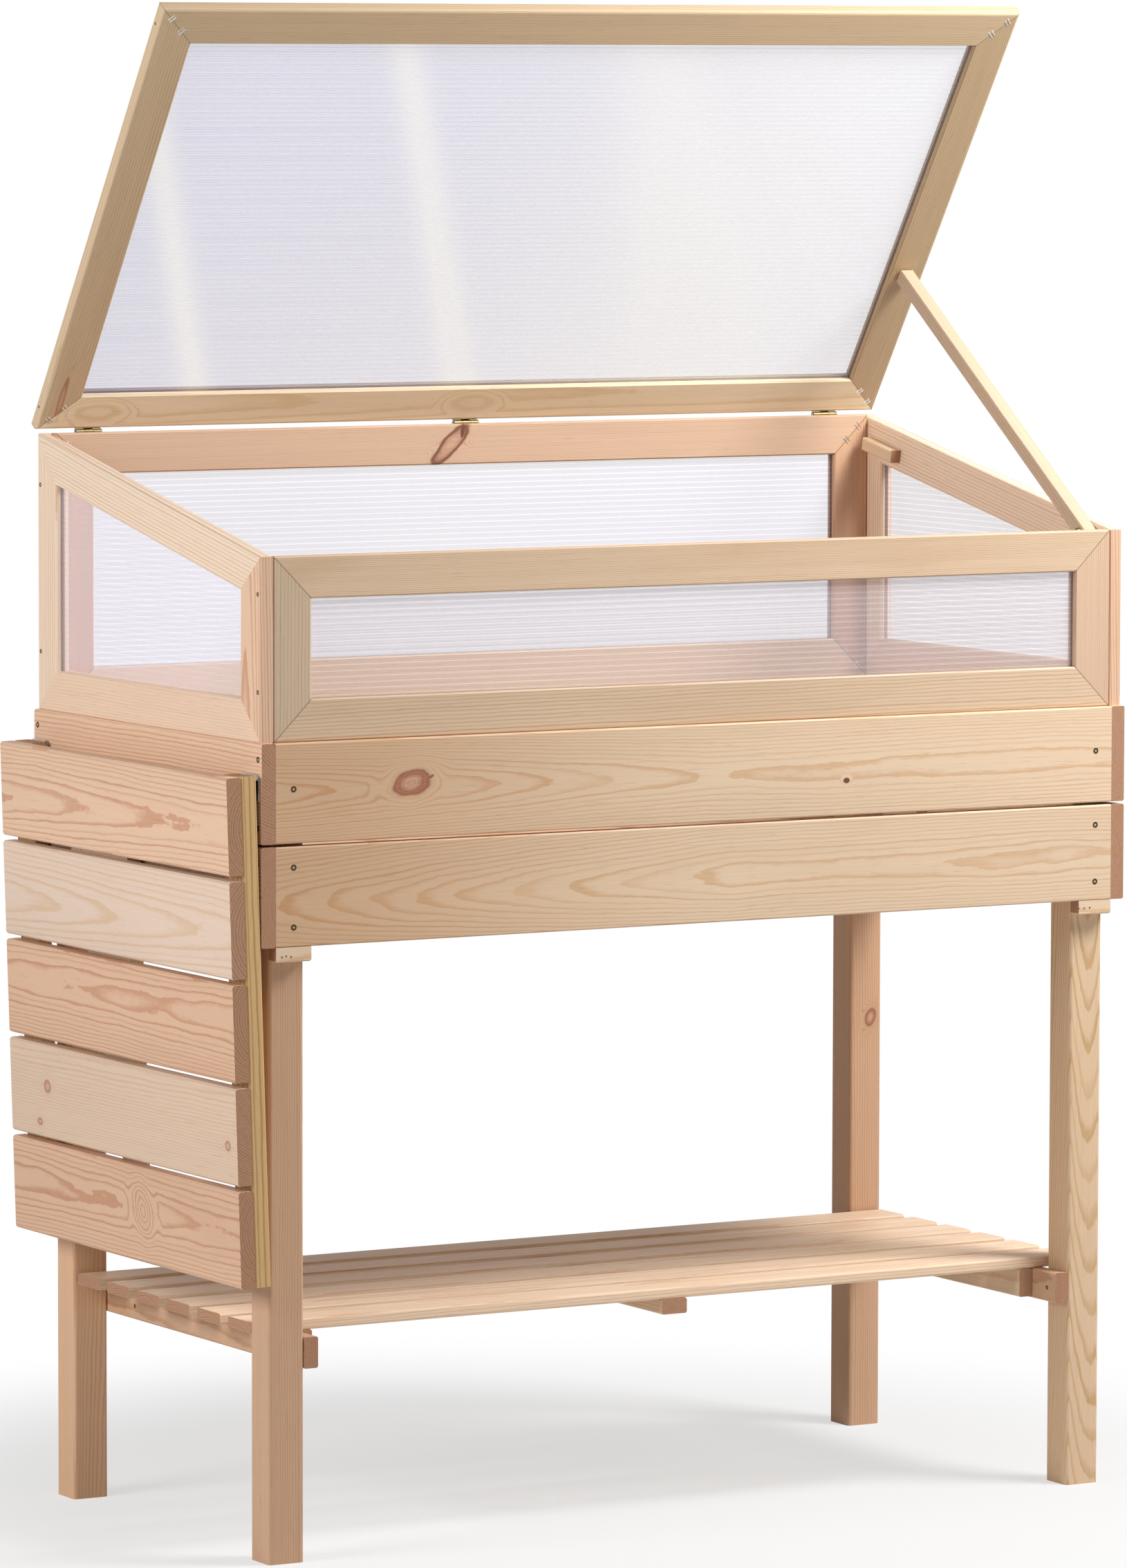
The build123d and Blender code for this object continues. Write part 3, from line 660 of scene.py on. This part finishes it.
# The lid pane carries painted reflections of the lamps, and a broad brighter zone on its right, painted light.
twin_wall("lid_pane", length, lid_run, seed=85, first_rib=rib_pitch / 2, milky=0.11, tint_and_shade=(0.13, 0.10, 0.75), painted_reflections=[
    PaintedReflection(-0.431, slant=-0.424, half_width=0.018, strength=0.9),
    PaintedReflection(-0.120, slant=-0.46, half_width=0.022, strength=0.8),
    PaintedReflection(0.176, slant=-0.42, half_width=0.06, strength=0.4),
    PaintedReflection(0.34, slant=0.2, half_width=0.34, strength=0.8),
])
near_edge = 0.003
far_edge = near_edge + lid_depth
lid_corners = []
for side in (-1, 1):
    for run, up in ((near_edge, 1), (far_edge, -1)):
        lid_corners.append((lid_pin + lid_run * run + Vector((side * lid_length / 2, 0, 0)), -side, up))
staples("lid_staples", "lid", length, lid_run, lid_corners)
nail_runs = (0.028, 0.508)
lid_nails = []
for side in (-1, 1):
    lid_end = lid_pin - lid_under * lid_thickness / 2 + Vector((side * lid_length / 2, 0, 0))
    lid_nails += [(lid_end + lid_run * run, (side, 0, 0)) for run in nail_runs]
screws("lid_nails", "lid", "zinc_steel", width=0.003, places=lid_nails)


# Hinges: three pressed steel butt hinges carry the lid, yellow zinc plated, screwed under the lid and to the back
# frame. Their pins, and those of the table's hinges, are bright zinc.
def metal(name, along, across, colour, dull, seed):
    """A plated finish on a CAD node."""
    finish, place, _ = dress(name, along, across)
    plated(finish, place, colour, dull, seed)


bright_zinc = (0.50, 0.50, 0.52)
metal("lid_hinge_frame_leaves", length, height, yellow_zinc, dull=0.42, seed=91)
metal("lid_hinge_lid_leaves", length, lid_run, yellow_zinc, dull=0.42, seed=92)
metal("hinge_pins", length, height, bright_zinc, dull=0.35, seed=93)


# Prop and cleat: a square stick that turns on a screw in the right side frame and holds the lid up,
# and the block that it lies on when the lid is shut.
prop_tilt = radians(36)
pine("prop", (0, cos(prop_tilt), sin(prop_tilt)), length, ashen_pine, seed=101, pith=(0.04, 0.03), ring=0.0022)
pine("prop_cleat", downhill, length, pale_pine, seed=102, pith=(0.03, 0.03), ring=0.0019)
metal("prop_screw", length, height, yellow_zinc, dull=0.38, seed=103)


# Side table: five pine slats screwed to two rails, hung on hinges from the left wall of the bed.
# The first, third and fifth slats are redder and strongly figured. A folding bracket lies behind them.
table_lean = radians(1.838)
table_down = Vector((sin(table_lean), 0, -cos(table_lean)))
russet_pine = ((0.700, 0.450, 0.300), (0.545, 0.275, 0.155))
chalk_pine = ((0.735, 0.565, 0.450), (0.670, 0.465, 0.310))
pine("table_slat_1", depth, table_down, rosy_pine, seed=111, pith=(0.004, -0.042), lean=0.010, ring=0.003, wave=1.5)
pine("table_slat_2", depth, table_down, chalk_pine, seed=112, pith=(0.006, -0.045), lean=0.022, ring=0.0034)
pine("table_slat_3", depth, table_down, russet_pine, seed=113, pith=(-0.014, -0.042), lean=-0.008, ring=0.003, wave=1.7)
wheat_pine = ((0.715, 0.525, 0.390), (0.630, 0.430, 0.290))
pine("table_slat_4", depth, table_down, wheat_pine, seed=114, pith=(-0.06, -0.05), lean=0.008, ring=0.0025, knots=[
    Knot(0.169, -0.006, 0.008, 0.007, wood=0.75, rim=0.1, swirl=4),
    Knot(0.189, 0.033, 0.006, 0.004, wood=0.8, rim=0.2, swirl=2),
    Knot(-0.235, 0.01, 0.006, 0.005, wood=0.7, rim=0.2, swirl=2),
])
pine("table_slat_5", depth, table_down, russet_pine, seed=115, pith=(-0.006, -0.04), lean=0.010, ring=0.003, wave=1.7,
     knots=[Knot(-0.042, -0.005, 0.021, 0.0155, tilt=-60, wood=0.06, swirl=3)])
amber_pine = ((0.660, 0.430, 0.200), (0.480, 0.265, 0.090))
pine("table_rail_front", table_down, depth, amber_pine, seed=116, pith=(0.03, 0.05), ring=0.0044, wave=1.4)
pine("table_rail_back", table_down, depth, amber_pine, seed=117, pith=(0.03, 0.05), ring=0.0034)
pine("table_bracket", table_down, depth, pale_pine, seed=118, pith=(0.02, 0.05), lean=0.02)
metal("table_hinge_bed_leaves", depth, height, bright_zinc, dull=0.38, seed=121)
metal("table_hinge_table_leaves", depth, height, bright_zinc, dull=0.38, seed=122)
metal("bracket_hinges", depth, height, bright_zinc, dull=0.38, seed=123)
